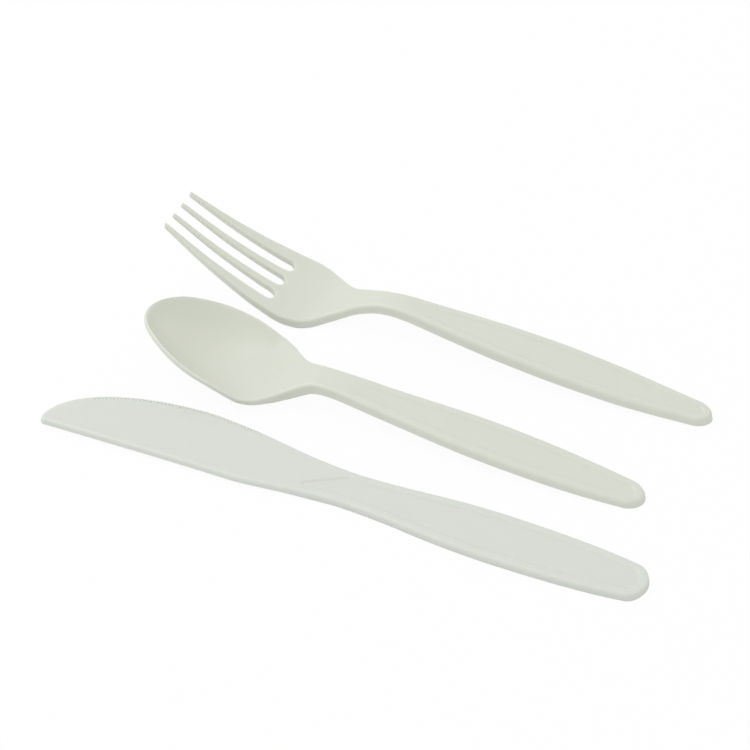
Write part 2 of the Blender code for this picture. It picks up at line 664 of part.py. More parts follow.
def fillet(before, corner, after, radius):
    """Arc that rounds the corner between two straight runs."""
    corner = np.array(corner)
    one = (np.array(before) - corner) / np.linalg.norm(np.array(before) - corner)
    two = (np.array(after) - corner) / np.linalg.norm(np.array(after) - corner)
    half = math.acos(float(np.dot(one, two))) / 2
    middle = corner + (one + two) / np.linalg.norm(one + two) * radius / math.sin(half)
    arm = corner + one * radius / math.tan(half) - middle
    side = math.copysign(1.0, one[0] * two[1] - one[1] * two[0])
    turns = [-side * (math.pi - 2 * half) * k / CORNER_STEPS for k in range(CORNER_STEPS + 1)]
    return [(middle[0] + arm[0] * math.cos(t) - arm[1] * math.sin(t),
             middle[1] + arm[0] * math.sin(t) + arm[1] * math.cos(t)) for t in turns]


def knife_panel(cutting_side, spine_side):
    """Edge of the knife's panel, cut off on the slant where the blade begins."""
    def far(x):
        return (x, float(cutting_side(x)) - KNIFE_RIM_WIDTH)

    def near(x):
        return (x, KNIFE_RIM_WIDTH - float(spine_side(x)))

    reach = max(KNIFE_END_ROUND - KNIFE_RIM_WIDTH, KNIFE_RIM_WIDTH)
    end = rounded_end(KNIFE_RIM_WIDTH, reach)
    start = KNIFE_RIM_WIDTH + reach
    far_corner = far(KNIFE_PANEL_FAR_END)
    near_corner = near(KNIFE_PANEL_NEAR_END)
    turned = fillet(far(KNIFE_PANEL_FAR_END - COARSE), far_corner, near_corner, KNIFE_PANEL_CORNER)
    turned += fillet(far_corner, near_corner, near(KNIFE_PANEL_NEAR_END - COARSE),
                     KNIFE_PANEL_CORNER)
    far_line = [(x, share * far(x)[1]) for x, share in end]
    far_line += [far(x) for x in spaced(start, turned[0][0] - FINE / 2, COARSE)]
    near_line = [(x, share * near(x)[1]) for x, share in end[1:]]
    near_line += [near(x) for x in spaced(start, turned[-1][0] - FINE / 2, COARSE)]
    return counter_clockwise(np.array(far_line + turned + near_line[::-1]))


def knife_surfaces(edge, first_tooth, spine_side):
    """Upper and under face of the knife: flat rimmed handle, thin blade, rib along the spine."""
    def blade(points):
        return soft_ramp(points[:, 0], KNIFE_PANEL_FAR_END, first_tooth)

    def rib(points):
        from_spine = points[:, 1] + spine_side(points[:, 0])
        return 1 - soft_ramp(from_spine, KNIFE_RIB_TOP, KNIFE_RIB_WIDTH)

    def upper(points):
        lowered = KNIFE_RIB_RISE * blade(points) * (1 - rib(points))
        return KNIFE_THICKNESS - lowered - panel_drop(points, edge, PANEL_DEPTH)

    def under(points):
        web = KNIFE_THICKNESS - KNIFE_RIB_RISE - KNIFE_WEB_THICKNESS
        spine = KNIFE_THICKNESS - KNIFE_SPINE_THICKNESS
        lifted = spine * rib(points) + web * (1 - rib(points))
        return blade(points) * lifted + panel_drop(points, edge, CHANNEL_DEPTH)

    return upper, under


def knife_wall(outline, neck, first_tooth, spine_side):
    """Sizes of the knife's wall: handle's shoulder, thin cutting edge, and rib at the spine."""
    x, y = outline.T
    on_edge = y + spine_side(x) > KNIFE_RIB_WIDTH
    sharp = soft_ramp(x, neck, first_tooth) * on_edge
    along_spine = soft_ramp(x, KNIFE_PANEL_FAR_END, first_tooth) * (1 - sharp)
    bevel = KNIFE_WEB_THICKNESS - KNIFE_EDGE_ROUND - KNIFE_EDGE_THICKNESS
    run = KNIFE_SHOULDER_RUN + (KNIFE_EDGE_ROUND - KNIFE_SHOULDER_RUN) * sharp
    drop = KNIFE_SHOULDER_DROP + (KNIFE_EDGE_ROUND - KNIFE_SHOULDER_DROP) * sharp
    foot = KNIFE_FOOT + (KNIFE_BEVEL - KNIFE_FOOT) * sharp
    lift = KNIFE_FOOT_RISE + (bevel - KNIFE_FOOT_RISE) * sharp
    foot += (FOOT_ROUND - foot) * along_spine
    lift += (FOOT_RISE - lift) * along_spine
    return run, drop, foot, lift


def knife_seeds(crest, edge, neck, length, spine_side):
    """Points inside the blade: a wide grid, and two lines along the rib."""
    seeds = grid_inside(crest, [edge], BLADE_GRID, neck, length)
    rib_line = np.array([(x, offset - float(spine_side(x)))
                         for offset in (KNIFE_RIB_TOP, KNIFE_RIB_WIDTH)
                         for x in spaced(neck + COARSE, length - COARSE, COARSE)])
    rib_line = rib_line[np.abs(depth_inside(rib_line, edge)) > FINE]
    rib_line = rib_line[depth_inside(rib_line, crest) > FOOT_ROUND / 2]
    gap = np.linalg.norm(seeds[:, None] - rib_line[None], axis=2).min(axis=1)
    return np.vstack([seeds[gap > BLADE_GRID / 4], rib_line])


def make_knife(finish):
    """Knife with a straight ribbed spine, a round belly and a fine saw edge."""
    neck = KNIFE_GRIP_AT + KNIFE_GRIP_TO_NECK
    belly = neck + KNIFE_NECK_TO_BELLY
    length = belly + KNIFE_BELLY_TO_TIP
    first_tooth = neck + TEETH_FROM_NECK
    cutting_side, spine_side = knife_sides(neck, belly, length)
    outline = knife_outline(neck, belly, length, cutting_side, spine_side)
    outline, notch = with_teeth(outline, first_tooth, length - TEETH_TO_TIP)
    if twice_area(outline) < 0:
        outline = outline[::-1]
        notch = notch[::-1]
    edge = knife_panel(cutting_side, spine_side)
    upper, under = knife_surfaces(edge, first_tooth, spine_side)
    run, drop, foot, lift = knife_wall(outline, neck, first_tooth, spine_side)
    rings = edge_rings(outline, run, drop, foot, lift, upper, under, notch)
    seeds = knife_seeds(rings[-1][:, :2], edge, neck, length, spine_side)
    return moulding("knife", rings, upper, under, panel_creases(edge), seeds, finish)


def lay_out(fork, spoon, knife):
    """Lays the three pieces side by side, centred, their handles' ends to +X."""
    knife_length = KNIFE_GRIP_AT + KNIFE_GRIP_TO_NECK + KNIFE_NECK_TO_BELLY + KNIFE_BELLY_TO_TIP
    end = knife_length / 2
    fork_to_spoon = FORK_HEAD_WIDTH / 2 + HEAD_TO_BOWL_GAP + SPOON_BOWL_WIDTH / 2
    spoon_to_knife = SPOON_BOWL_WIDTH / 2 + BOWL_TO_BLADE_GAP + KNIFE_BELLY_OUT
    depth = FORK_HEAD_WIDTH / 2 + fork_to_spoon + spoon_to_knife + KNIFE_SPINE_AT_TIP
    row = depth / 2 - FORK_HEAD_WIDTH / 2
    fork.location = (end - FORK_END_BACK, row, 0.0)
    spoon.location = (end - SPOON_END_BACK, row - fork_to_spoon, 0.0)
    spoon.rotation_euler = (0.0, 0.0, -SPOON_TURN)
    knife.location = (end, row - fork_to_spoon - spoon_to_knife, 0.0)


def main():
    for old in list(bpy.data.objects):
        bpy.data.objects.remove(old)

    fork = make_fork(plastic("fork_plastic", WARM_WHITE))
    spoon = make_spoon(plastic("spoon_plastic", WARM_WHITE))
    knife = make_knife(plastic("knife_plastic", COOL_WHITE))
    lay_out(fork, spoon, knife)


main()
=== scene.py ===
# %% [markdown]
# # A set of disposable cutlery
#
# A fork, a spoon and a knife, moulded in off-white starch plastic, lie side by side on white.
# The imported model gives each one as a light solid. Here each is made again with a fine mesh, so
# that its rounded edges, its sunk panels and the knife's teeth catch the light as real ones do.

import math

import bpy
import numpy as np
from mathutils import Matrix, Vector
from mathutils.geometry import delaunay_2d_cdt


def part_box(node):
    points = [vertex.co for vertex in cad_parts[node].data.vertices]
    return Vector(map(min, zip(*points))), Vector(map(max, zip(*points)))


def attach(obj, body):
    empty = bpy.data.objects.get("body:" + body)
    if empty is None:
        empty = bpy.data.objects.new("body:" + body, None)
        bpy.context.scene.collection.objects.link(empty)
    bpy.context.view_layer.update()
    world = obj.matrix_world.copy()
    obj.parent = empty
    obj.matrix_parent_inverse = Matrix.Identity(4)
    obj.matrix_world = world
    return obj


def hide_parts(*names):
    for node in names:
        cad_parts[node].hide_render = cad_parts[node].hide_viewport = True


MILLI = 1000.0  # millimetres in a metre
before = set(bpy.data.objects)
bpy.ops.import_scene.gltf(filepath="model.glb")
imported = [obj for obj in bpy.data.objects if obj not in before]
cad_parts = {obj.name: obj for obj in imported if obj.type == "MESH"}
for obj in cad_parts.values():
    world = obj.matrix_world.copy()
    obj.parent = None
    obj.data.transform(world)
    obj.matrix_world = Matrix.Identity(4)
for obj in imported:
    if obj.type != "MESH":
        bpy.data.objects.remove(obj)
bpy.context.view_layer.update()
for name in ("fork", "spoon", "knife"):
    low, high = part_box(name)
    print(name, "is", [round((b - a) * MILLI, 1) for a, b in zip(low, high)], "mm in the model")

# %% [markdown]
# ## A curve through a few chosen points
#
# The side of a handle swells and narrows without a bump. A plain cubic spline overshoots between
# its points, which shows as a wobble in the highlight. This curve never leaves the range of its
# two neighbours, so a few well-chosen widths are enough.

# %% Curves
def smooth_curve(points):
    """A curve through (along, value) points that has no hump between them."""
    along, value = np.array(points, dtype=float).T
    step = np.diff(along)
    slope = np.diff(value) / step
    tangent = np.zeros(len(along))
    tangent[0] = slope[0]
    tangent[-1] = slope[-1]
    for i in range(1, len(along) - 1):
        if slope[i - 1] * slope[i] > 0:
            left = 2 * step[i] + step[i - 1]
            right = step[i] + 2 * step[i - 1]
            tangent[i] = (left + right) / (left / slope[i - 1] + right / slope[i])

    def value_at(place):
        place = np.clip(place, along[0], along[-1])
        i = np.clip(np.searchsorted(along, place, side="right") - 1, 0, len(step) - 1)
        t = (place - along[i]) / step[i]
        blend = t * t * (3 - 2 * t)
        bow = tangent[i] * t * (1 - t) ** 2 - tangent[i + 1] * t * t * (1 - t)
        return value[i] * (1 - blend) + value[i + 1] * blend + bow * step[i]

    return value_at


def with_bends(marks, bends):
    """Main (along, value) marks, with bends as shares of each stretch's length and change."""
    points = [marks[0]]
    for (start, first), (end, last), stretch in zip(marks, marks[1:], bends):
        points += [(start + u * (end - start), first + v * (last - first)) for u, v in stretch]
        points.append((end, last))
    return points


print("half-way along an even curve:", smooth_curve([(0.0, 0.0), (1.0, 1.0)])(0.5))

# %% [markdown]
# Depths, thicknesses and the rounding of edges change along a piece. A ramp says how far a place
# lies between two others, and a soft one leaves no crease where it starts and ends.

# %% Ramps
def ramp(value, start, end):
    """0 before start, 1 after end, and an even climb between."""
    return np.clip((value - start) / (end - start), 0.0, 1.0)


def soft_ramp(value, start, end):
    """As ramp, with a soft start and end."""
    t = ramp(value, start, end)
    return t * t * (3 - 2 * t)


def part_way(share, first, last):
    """The value that lies at a share of the way from the first to the last."""
    return first + (last - first) * share


print("half-way up a soft ramp:", soft_ramp(0.5, 0.0, 1.0))

# %% [markdown]
# ## Outlines
#
# Each piece is flat enough to be drawn from above as one closed line, and lifted afterwards. The
# line's points are close together, 0.4 mm on the heads and 0.8 mm on the handles, so that nothing
# looks faceted even in a close view.

# %% Outline helpers
COARSE = 0.0008
FINE = 0.0004
ARC_STEPS = 22


def spaced(start, end, spacing):
    """Places from start to end at an even spacing, the end left out."""
    count = math.ceil(abs(end - start) / spacing - 1e-6)
    return list(np.linspace(start, end, count, endpoint=False))


def stations(start, fine_from, end):
    """Places along a piece: coarse along the handle, fine from the neck on."""
    return spaced(start, fine_from, COARSE) + spaced(fine_from, end, FINE)


def rounded_end(reach):
    """Places over a handle's rounded end, with the share of the full width at each."""
    angles = np.linspace(0, math.pi / 2, ARC_STEPS, endpoint=False)
    return [(reach * (1 - math.cos(a)), math.sin(a)) for a in angles]


def rounded_side(half_width, start, start_round, end, end_round, fine_from, end_steps=ARC_STEPS):
    """One side of an outline, closed at both ends by a quarter of an ellipse."""
    side = [(start + place, share) for place, share in rounded_end(start_round)]
    side += [(place, 1.0) for place in stations(start + start_round, fine_from, end - end_round)]
    angles = np.linspace(math.pi / 2, 0, end_steps + 1)
    side += [(end - end_round * (1 - math.cos(a)), math.sin(a)) for a in angles]
    return [(place, share * float(half_width(place))) for place, share in side]


def mirrored(side):
    """A closed outline from one side whose first and last points lie on the middle line."""
    return np.array(side + [(x, -y) for x, y in side[-2:0:-1]])


print("one side of a 90 mm handle takes", len(spaced(0.0, 0.090, COARSE)), "points")

# %% [markdown]
# A sunk panel keeps its distance from the handle's edge, so a point needs to know how deep inside
# an outline it lies. Going round counter-clockwise the inside is on the left, and the direction
# into the piece is the direction along its edge, turned a quarter to the left.

# %% Inside an outline
BLOCK = 1500  # points measured at a time, which keeps the memory small


def twice_area(outline):
    """Twice the area inside the outline: positive where it runs counter-clockwise."""
    x, y = outline.T
    return np.sum(x * np.roll(y, -1) - y * np.roll(x, -1))


def counter_clockwise(outline):
    """The same outline, turned so that it runs counter-clockwise."""
    return outline if twice_area(outline) > 0 else outline[::-1]


def inward(outline):
    """Unit vectors across the outline, pointing into the piece."""
    run = np.roll(outline, -1, axis=0) - np.roll(outline, 1, axis=0)
    run /= np.linalg.norm(run, axis=1)[:, None]
    across = np.column_stack([-run[:, 1], run[:, 0]])
    return across if twice_area(outline) > 0 else -across


def depth_inside(points, outline):
    """Distance of each point from the outline: positive inside it, negative outside."""
    start = outline[None, :, :]
    run = (np.roll(outline, -1, axis=0) - outline)[None, :, :]
    length = np.sum(run * run, axis=2)
    end = start + run
    rise = np.where(run[:, :, 1] == 0, 1.0, run[:, :, 1])
    found = []
    for block in np.array_split(points, max(1, len(points) // BLOCK)):
        to_point = block[:, None, :] - start
        t = np.clip(np.sum(to_point * run, axis=2) / length, 0, 1)
        distance = np.linalg.norm(to_point - run * t[:, :, None], axis=2).min(axis=1)
        spans = (start[:, :, 1] > block[:, None, 1]) != (end[:, :, 1] > block[:, None, 1])
        crossing = start[:, :, 0] + run[:, :, 0] * (block[:, None, 1] - start[:, :, 1]) / rise
        inside = np.sum(spans & (block[:, None, 0] < crossing), axis=1) % 2 == 1
        found.append(np.where(inside, distance, -distance))
    return np.concatenate(found)


square = np.array([(0, 0), (1, 0), (1, 1), (0, 1)], dtype=float)
print("a unit square's middle lies", depth_inside(np.array([(0.5, 0.5)]), square)[0], "inside it")

# %% [markdown]
# ## Filling an outline
#
# The broad faces bend softly between their edge and the creases of the panel. A Delaunay
# triangulation joins the edge, the creases and a staggered grid of points into even triangles.
# Long faces from edge to edge would be fewer, but they show as streaks in a soft light.

# %% Filling
CLEAR_OF_LINES = 0.55  # of the grid's spacing
MERGE_WITHIN = 1e-4  # mm
INSIDE_ONLY = 1  # keeps the triangles inside the outline


def grid_inside(outline, creases, spacing):
    """Staggered grid points well inside the outline and clear of its creases."""
    low = outline.min(axis=0)
    high = outline.max(axis=0)
    rows = np.arange(low[1], high[1], spacing * math.sqrt(3) / 2)
    points = np.array([(x + (i % 2) * spacing / 2, y) for i, y in enumerate(rows)
                       for x in np.arange(low[0], high[0], spacing)])
    points = points[depth_inside(points, outline) > spacing * CLEAR_OF_LINES]
    for crease in creases:
        points = points[np.abs(depth_inside(points, crease)) > spacing * CLEAR_OF_LINES]
    return points


def filled(outline, creases, seeds):
    """Points and triangles that fill the outline; the outline's own points come first."""
    loops = [outline] + creases
    edges = []
    first = 0
    for loop in loops:
        edges += [(first + i, first + (i + 1) % len(loop)) for i in range(len(loop))]
        first += len(loop)
    points = np.vstack(loops + [seeds])
    flat = [tuple(p) for p in points * MILLI]
    face = list(range(len(outline)))
    result = delaunay_2d_cdt(flat, edges, [face], INSIDE_ONLY, MERGE_WITHIN)
    source = [origin[0] for origin in result[3]]
    return points, [tuple(source[i] for i in triangle) for triangle in result[2]]


tile = square * 0.010
tile_triangles = filled(tile, [], grid_inside(tile, [], 0.001))[1]
print("a 10 mm square is filled with", len(tile_triangles), "triangles")

# %% [markdown]
# ## The wall of a moulding
#
# A moulding leaves its mould because its walls lean a little and its edges are rounded. So the
# wall is made of closed rings: the foot, the parting line, and a quarter turn over the top edge.
# A bevel could round the edge too, but not by an amount that changes along the whole length, as
# it does here.

# %% Wall rings
EDGE_STEPS = 8
WALL_DRAFT = 0.00018
FOOT_ROUND = 0.0003
FOOT_RISE = 0.00015


def edge_rings(outline, run, drop, foot, lift, upper, under, notch=None):
    """Rings from the under face, up the wall and over its rounded top edge."""
    into = inward(outline)
    cut = np.zeros(len(outline)) if notch is None else notch
    base = outline + into * np.maximum(foot, cut)[:, None]
    base_height = under(base)
    crest_height = upper(outline + into * run[:, None])
    rings = [np.column_stack([base, base_height]),
             np.column_stack([outline + into * cut[:, None], base_height + lift])]
    draft = np.minimum(WALL_DRAFT, run / 2) * (cut == 0)
    for k in range(EDGE_STEPS + 1):
        angle = math.pi / 2 * k / EDGE_STEPS
        share = 1 - math.cos(angle)
        offset = np.maximum(draft + (run - draft) * share, cut + (run - cut) * share)
        height = crest_height - drop * (1 - math.sin(angle))
        rings.append(np.column_stack([outline + into * offset[:, None], height]))
    return rings


print("a wall has", EDGE_STEPS + 3, "rings")

# %% [markdown]
# The rings are joined, and an upper and an under face close them into one solid, as the real
# piece is one moulding. Each point of a face takes its height from the surface that it lies on.
# The pieces are drawn from the handle's end on, and that end lies at the right, so x is reversed.

# %% One closed moulding
UNDER_SPACING = 1.4  # the hidden face has a coarser grid
SHARP_ANGLE = math.radians(50)


def moulding(name, rings, upper, under, creases, spacing):
    """Closes the rings with an upper and an under face, as one solid."""
    count = len(rings[0])
    vertices = [tuple(p) for ring in rings for p in ring]
    faces = []
    for k in range(len(rings) - 1):
        for i in range(count):
            j = (i + 1) % count
            faces.append((k * count + i, k * count + j, (k + 1) * count + j, (k + 1) * count + i))
    for ring, first, surface, gap, flip in (
            (rings[-1], (len(rings) - 1) * count, upper, spacing, False),
            (rings[0], 0, under, spacing * UNDER_SPACING, True)):
        outline = ring[:, :2]
        seeds = grid_inside(outline, creases, gap)
        points, triangles = filled(outline, creases, seeds)
        extra = points[count:]
        start = len(vertices)
        vertices += [tuple(p) for p in np.column_stack([extra, surface(extra)])]
        for triangle in triangles:
            corner = [first + i if i < count else start + i - count for i in triangle]
            faces.append(tuple(corner[::-1]) if flip else tuple(corner))
    mesh = bpy.data.meshes.new(name)
    mesh.from_pydata([(-x, y, z) for x, y, z in vertices], [], [f[::-1] for f in faces])
    mesh.shade_smooth()
    mesh.set_sharp_from_angle(angle=SHARP_ANGLE)
    piece = bpy.data.objects.new(name, mesh)
    bpy.context.collection.objects.link(piece)
    print(name, "has", len(mesh.vertices), "points and", len(mesh.polygons), "faces")
    return piece


# %% [markdown]
# ## The sunk panel
#
# Each handle has a shallow panel inside a raised rim, above and below, which saves plastic and
# keeps the handle stiff. Its edge is a soft slope 0.7 mm wide. Seven closed creases follow that
# slope, so that the shade across it is even. A slope much wider would make them cross where the
# panel's corners are small.

# %% Panels
RIM_SLOPE = 0.0007
PANEL_DEPTH = 0.00032
CHANNEL_DEPTH = 0.0006
PANEL_FADE = 0.009
SLOPE_STEPS = 6


def slope_creases(edge):
    """Closed lines down the slope from the rim to the panel."""
    into = inward(edge)
    return [edge + into * RIM_SLOPE * k / SLOPE_STEPS for k in range(SLOPE_STEPS + 1)]


def panel_edge(half_width, start_round, rim, end):
    """Upper edge of the panel sunk into a handle, inside a rim."""
    first_round = max(start_round - rim, rim)
    last_round = PANEL_FADE / 2
    side = rounded_side(lambda place: half_width(place) - rim,
                        rim, first_round, end, last_round, end - last_round)
    return counter_clockwise(mirrored(side))


def panel_drop(points, edge, depth, end):
    """How far a point lies below the rim; the panel runs out softly towards the neck."""
    fade = 1 - soft_ramp(points[:, 0], end - PANEL_FADE, end)
    return depth * fade * soft_ramp(depth_inside(points, edge), 0.0, RIM_SLOPE)


print("panels are", round(PANEL_DEPTH * MILLI, 2), "mm deep, with", SLOPE_STEPS + 1, "creases each")

# %% [markdown]
# ## The fork
#
# The tines taper, and the slots between them end in half circles, because a square corner would
# crack. The slots are part of the outline, so no boolean is needed to cut them.

# %% Fork outline
FORK_GRIP_AT, FORK_NECK_AT, FORK_HEAD_AT, FORK_LENGTH = 0.045, 0.097, 0.1255, 0.1639
SLOT_COUNT, SLOT_LENGTH = 3, 0.0337
SLOT_ROOT_PITCH, SLOT_TIP_PITCH = 0.0066, 0.0052
SLOT_ROOT_WIDTH, SLOT_TIP_WIDTH = 0.0033, 0.0037
FORK_END_ROUND = 0.0045
FORK_HEAD_HALF = 0.01355
TINE_ROUND_SHARE = 0.62  # of the outer tine's width
TIP_STEPS, ROOT_STEPS = 14, 24


def fork_outline(half_width):
    """The fork seen from above: handle, shoulders, and tines parted by tapering slots."""
    root = FORK_LENGTH - SLOT_LENGTH

    def slot_side(index, x, way):
        pitch = np.interp(x, (root, FORK_LENGTH), (SLOT_ROOT_PITCH, SLOT_TIP_PITCH))
        width = np.interp(x, (root, FORK_LENGTH), (SLOT_ROOT_WIDTH, SLOT_TIP_WIDTH))
        return float((index - (SLOT_COUNT - 1) / 2) * pitch + way * width / 2)

    def half_turn(end, length, outer, inner, steps):
        middle = (outer + inner) / 2
        half = (outer - inner) / 2
        turn = [math.pi * k / steps for k in range(steps + 1)]
        return [(end - length * (1 - math.sin(a)), middle + half * math.cos(a)) for a in turn]

    tine_width = float(half_width(FORK_LENGTH)) - slot_side(SLOT_COUNT - 1, FORK_LENGTH, 1)
    tip_round = TINE_ROUND_SHARE * tine_width
    shoulder = FORK_LENGTH - tip_round
    root_round = SLOT_ROOT_WIDTH / 2
    along_slot = spaced(shoulder, root + root_round, FINE)[1:]
    side = rounded_end(FORK_END_ROUND)
    side += [(x, 1.0) for x in stations(FORK_END_ROUND, FORK_NECK_AT - 0.010, shoulder)]
    side = [(x, share * float(half_width(x))) for x, share in side]
    outer = float(half_width(shoulder))
    for index in range(SLOT_COUNT - 1, SLOT_COUNT // 2 - 1, -1):
        side += half_turn(FORK_LENGTH, tip_round, outer, slot_side(index, shoulder, 1), TIP_STEPS)
        side += [(x, slot_side(index, x, 1)) for x in along_slot]
        arc = [(2 * root + 2 * root_round - x, y) for x, y in
               half_turn(root + 2 * root_round, root_round, slot_side(index, root, 1),
                         slot_side(index, root, -1), ROOT_STEPS)]
        if index > SLOT_COUNT // 2:
            side += arc + [(x, slot_side(index, x, -1)) for x in along_slot[::-1]]
            outer = slot_side(index, shoulder, -1)
        else:
            side += arc[:ROOT_STEPS // 2 + 1]
    return counter_clockwise(mirrored(side))


print(SLOT_COUNT, "slots, each", round(SLOT_LENGTH * MILLI, 1), "mm long")

# %% [markdown]
# The fork is bent down behind its head and up again to the tips. The handle is thick at the neck,
# where the bending is greatest, and the tines are thin. The handle's edge is rounded further down
# than the neck's, so that it is kind to the hand.

# %% Fork
RIM_WIDTH = 0.0023
FORK_EDGE_RUN, TINE_EDGE_RUN = 0.0013, 0.0005
FORK_EDGE_DROP, TINE_EDGE_DROP = 0.0011, 0.0013
GRIP_EXTRA_DROP = 0.0005
GRIP_FADE_FROM, GRIP_FADE_TO = 0.030, 0.004  # before the neck
HEAD_DISH = 0.0004


def make_fork():
    """Four-tined fork."""
    half_width = smooth_curve(with_bends(
        [(0.0, 0.0037), (FORK_GRIP_AT, 0.00702), (FORK_NECK_AT, 0.0038),
         (FORK_HEAD_AT, FORK_HEAD_HALF), (FORK_LENGTH, 0.0084)],
        [[(0.20, 0.30), (0.40, 0.60), (0.65, 0.88)],
         [(0.29, 0.13), (0.48, 0.34), (0.67, 0.63), (0.87, 0.91)],
         [(0.20, 0.045), (0.38, 0.17), (0.50, 0.34), (0.70, 0.73), (0.85, 0.93)],
         [(0.17, 0.10), (0.44, 0.38), (0.75, 0.72)]]))
    arch, low = FORK_NECK_AT - 0.004, FORK_NECK_AT + 0.0214
    rise = smooth_curve(with_bends(
        [(0.0, 0.0), (arch, 0.0070), (low, 0.0), (FORK_LENGTH, 0.0196)],
        [[(0.20, 0.155), (0.50, 0.49), (0.85, 0.86)],
         [(0.20, 0.07), (0.44, 0.33), (0.72, 0.78)],
         [(0.10, 0.035), (0.33, 0.20), (0.66, 0.54)]]))
    thickness = smooth_curve([(0.0, 0.0025), (FORK_NECK_AT - 0.010, 0.0032), (low, 0.0027),
                              (FORK_LENGTH - SLOT_LENGTH, 0.0021), (FORK_LENGTH, 0.0016)])
    outline = fork_outline(half_width)
    panel_end = FORK_NECK_AT - 0.007
    edge = panel_edge(half_width, FORK_END_ROUND, RIM_WIDTH, panel_end)

    def upper(points):
        x, y = points.T
        sides = np.clip(np.abs(y) / half_width(x), 0, 1)
        dish = HEAD_DISH * soft_ramp(x, FORK_NECK_AT, FORK_HEAD_AT) * (1 - sides ** 2)
        return rise(x) + thickness(x) - dish - panel_drop(points, edge, PANEL_DEPTH, panel_end)

    def under(points):
        return rise(points[:, 0]) + panel_drop(points, edge, CHANNEL_DEPTH, panel_end)

    to_tines = soft_ramp(outline[:, 0], arch, FORK_LENGTH - SLOT_LENGTH / 2)
    on_grip = 1 - soft_ramp(outline[:, 0], FORK_NECK_AT - GRIP_FADE_FROM,
                            FORK_NECK_AT - GRIP_FADE_TO)
    run = part_way(to_tines, FORK_EDGE_RUN, TINE_EDGE_RUN)
    drop = part_way(to_tines, FORK_EDGE_DROP, TINE_EDGE_DROP) + GRIP_EXTRA_DROP * on_grip
    foot = np.minimum(run, FOOT_ROUND)
    rings = edge_rings(outline, run, drop, foot, FOOT_RISE, upper, under)
    return moulding("moulded_fork", rings, upper, under, slope_creases(edge), spacing=0.0008)


moulded_fork = make_fork()

# %% [markdown]
# ## The spoon
#
# The bowl is egg-shaped, deepest behind its middle, and its brim climbs towards the tip. Where
# the neck runs into the bowl the wall is deep, as a beam is, and it thins to a fine brim round
# the front. The hollow is one function of the place: no depth at the brim, full depth on the
# middle line.

# %% Spoon
SPOON_GRIP_AT, SPOON_NECK_AT, SPOON_BOWL_AT, SPOON_LENGTH = 0.042, 0.092, 0.122, 0.1488
SPOON_TIP_ROUND = 0.0220
SPOON_BRIM_WIDTH = 0.0008
SPOON_END_ROUND = 0.0045
SPOON_RIM_WIDTH = 0.0025
SPOON_NECK_HEIGHT, SPOON_TIP_HEIGHT = 0.0087, 0.0135
SPOON_EDGE_RUN, BRIM_EDGE_RUN = 0.0013, 0.0007
SPOON_EDGE_DROP, BRIM_EDGE_DROP = 0.0009, 0.0008
HOLLOW_POWER = 2.2  # how flat the hollow's floor is across


